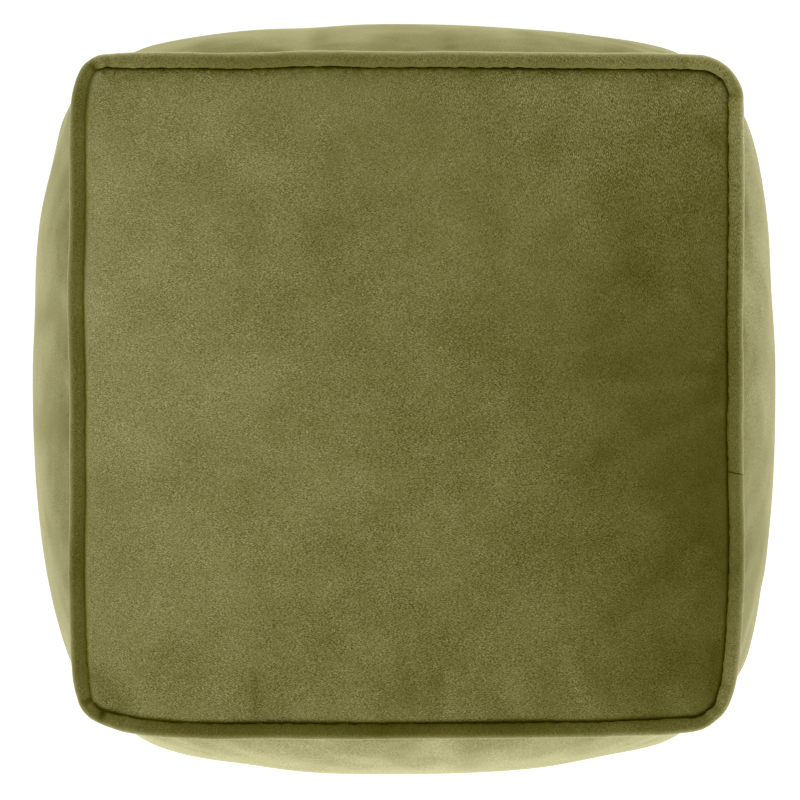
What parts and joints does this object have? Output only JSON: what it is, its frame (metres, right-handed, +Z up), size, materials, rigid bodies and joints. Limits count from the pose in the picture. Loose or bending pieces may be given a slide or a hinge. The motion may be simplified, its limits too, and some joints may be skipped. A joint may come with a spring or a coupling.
{
  "type": "cube pouf stool",
  "caption": "Soft cube pouf: a firmly filled velvet cover with a crowned top, swollen sides and corded piping round its top and bottom seams.",
  "frame": {"origin": "on the floor, under the middle of the piped seams", "axes": "+Z up, through the crowned top; -Y is the edge nearest the bottom of the picture and +X its right"},
  "size_m": [0.5214, 0.5256, 0.4326],
  "materials": {
    "panel_velvet": "olive green short-pile velvet with soft light and dark patches in the nap",
    "piping_velvet": "the same olive green velvet wrapped over a cord"
  },
  "bodies": {
    "root": {"filled_cover": "panel_velvet", "top_piping": "piping_velvet", "bottom_piping": "piping_velvet"}
  },
  "joints": []
}
